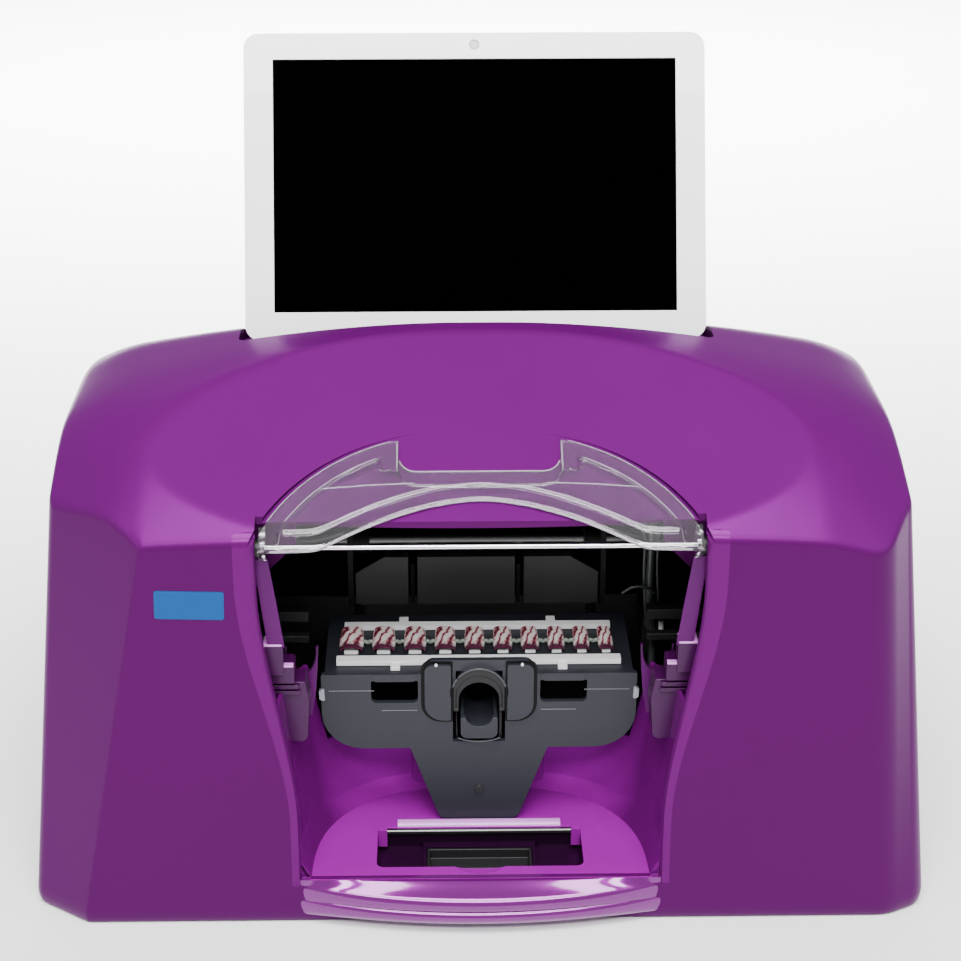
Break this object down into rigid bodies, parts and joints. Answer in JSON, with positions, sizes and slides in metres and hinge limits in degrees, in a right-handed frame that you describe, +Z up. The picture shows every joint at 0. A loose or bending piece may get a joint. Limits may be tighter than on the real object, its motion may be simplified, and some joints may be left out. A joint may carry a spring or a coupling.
{
  "type": "nail art printer",
  "caption": "Desktop ink-jet nail printer: domed casing scooped over a niche with a sliding tip tray and finger cup, clear visor, tilting touch display.",
  "frame": {"origin": "centre of the bounding box's bottom face, on the table", "axes": "+X to the right seen from the front, +Y towards the back, +Z up"},
  "size_m": [0.4746, 0.424, 0.4215],
  "materials": {
    "shell_purple": "gloss moulded",
    "niche_purple": "high gloss moulded",
    "charcoal": "fine grained",
    "black_plastic": "fine grained",
    "black_metal": "black powder coat",
    "clear": "clear moulded plastic",
    "white_bezel": "gloss",
    "white_satin": "satin",
    "screen_glass": "gloss black",
    "lens_glass": "gloss",
    "steel": "ground",
    "chrome": "polished",
    "bush": "sintered",
    "clip_grey": "satin",
    "nail_acrylic": "glossy lacquer",
    "rubber_feet": "matt",
    "belt_rubber": "matt",
    "board_green": "solder mask",
    "sheet_zinc": "zinc plated"
  },
  "bodies": {
    "printer": {"shell": "shell_purple", "base_pan": "black_metal", "feet": "rubber_feet", "shell_screws": "steel", "niche_liner": "niche_purple", "slot_bar": "chrome", "bar_clips": "niche_purple", "visor_brackets": "shell_purple", "visor_bushes": "black_plastic", "hinge_bracket": "black_metal", "hinge_pin": "steel", "tray_rails": "steel", "chassis_left": "black_metal", "chassis_right": "black_metal", "chassis_back": "black_metal", "chassis_top": "black_metal", "rail_bracket": "black_metal", "front_crossbars": "black_metal", "guide_rod_front": "steel", "guide_rod_rear": "steel", "drive_belt": "belt_rubber", "idler_pin": "steel", "carriage_motor": "black_metal", "cap_station": "black_plastic", "wiring_loom": "belt_rubber", "main_board": "board_green", "power_supply": "sheet_zinc", "fan_frame": "black_plastic", "rear_panel": "black_metal", "power_inlet": "black_plastic", "switch_housing": "black_plastic", "usb_port": "steel", "rear_screws": "steel"},
    "visor": {"visor": "clear", "visor_rod": "chrome"},
    "display": {"display_bezel": "white_bezel", "display_back": "white_bezel", "screen_panel": "screen_glass", "camera_lens": "lens_glass"},
    "tray": {"tray_body": "charcoal", "finger_arch": "black_plastic", "rack_clips": "clip_grey", "tongue_screw": "black_metal", "cup_spring": "steel"},
    "finger_cup": {"finger_cup": "charcoal"},
    "tip_rack": {"tip_rack": "white_satin", "nail_tips": "nail_acrylic"},
    "carriage": {"carriage": "black_plastic", "carriage_bushes": "bush", "belt_clamp": "black_plastic", "cartridge_left": "black_plastic", "cartridge_middle": "black_plastic", "cartridge_right": "black_plastic"},
    "motor_pulley": {"motor_pulley": "steel"},
    "idler_pulley": {"idler_pulley": "steel"},
    "fan_rotor": {"fan_rotor": "black_plastic"},
    "power_switch": {"power_switch": "black_plastic"},
    "accessory_bin": {"accessory_bin": "charcoal"}
  },
  "joints": [
    {"name": "visor_hinge", "type": "hinge", "parent": "printer", "child": "visor", "pos_m": [0, -0.176, 0.2116], "axis": [1, 0, 0], "range_deg": [0, 235]},
    {"name": "display_tilt", "type": "hinge", "parent": "printer", "child": "display", "pos_m": [0, -0.036, 0.27], "axis": [1, 0, 0], "range_deg": [-12, 8]},
    {"name": "tray_slide", "type": "slide", "parent": "printer", "child": "tray", "axis": [0, 1, 0], "range_m": [0, 0.026]},
    {"name": "cup_press", "type": "slide", "parent": "tray", "child": "finger_cup", "axis": [0, 0, -1], "range_m": [0, 0.003], "stiffness_N_per_m": 300, "springref_m": -0.001, "deforming": ["cup_spring"]},
    {"name": "rack_lift", "type": "slide", "parent": "tray", "child": "tip_rack", "axis": [0, 0, 1], "range_m": [0, 0.0018]},
    {"name": "carriage_slide", "type": "slide", "parent": "printer", "child": "carriage", "axis": [1, 0, 0], "range_m": [-0.075, 0.075]},
    {"name": "motor_spin", "type": "hinge", "parent": "printer", "child": "motor_pulley", "pos_m": [-0.128, 0.017, 0.14], "axis": [0, 1, 0], "range_deg": [-560, 560]},
    {"name": "idler_spin", "type": "hinge", "parent": "printer", "child": "idler_pulley", "pos_m": [0.128, 0.017, 0.14], "axis": [0, 1, 0], "range_deg": [-560, 560]},
    {"name": "fan_spin", "type": "hinge", "parent": "printer", "child": "fan_rotor", "pos_m": [0.055, 0.18, 0.066], "axis": [0, 1, 0], "continuous": true},
    {"name": "switch_rock", "type": "hinge", "parent": "printer", "child": "power_switch", "pos_m": [-0.08, 0.183, 0.08], "axis": [1, 0, 0], "range_deg": [-5, 5]},
    {"name": "bin_lift", "type": "slide", "parent": "printer", "child": "accessory_bin", "axis": [0, 0, 1], "range_m": [0, 0.03]}
  ],
  "couplings": [
    {"joint": "motor_spin", "follows": "carriage_slide", "rad_per_m": -116.28},
    {"joint": "idler_spin", "follows": "carriage_slide", "rad_per_m": -116.28}
  ]
}
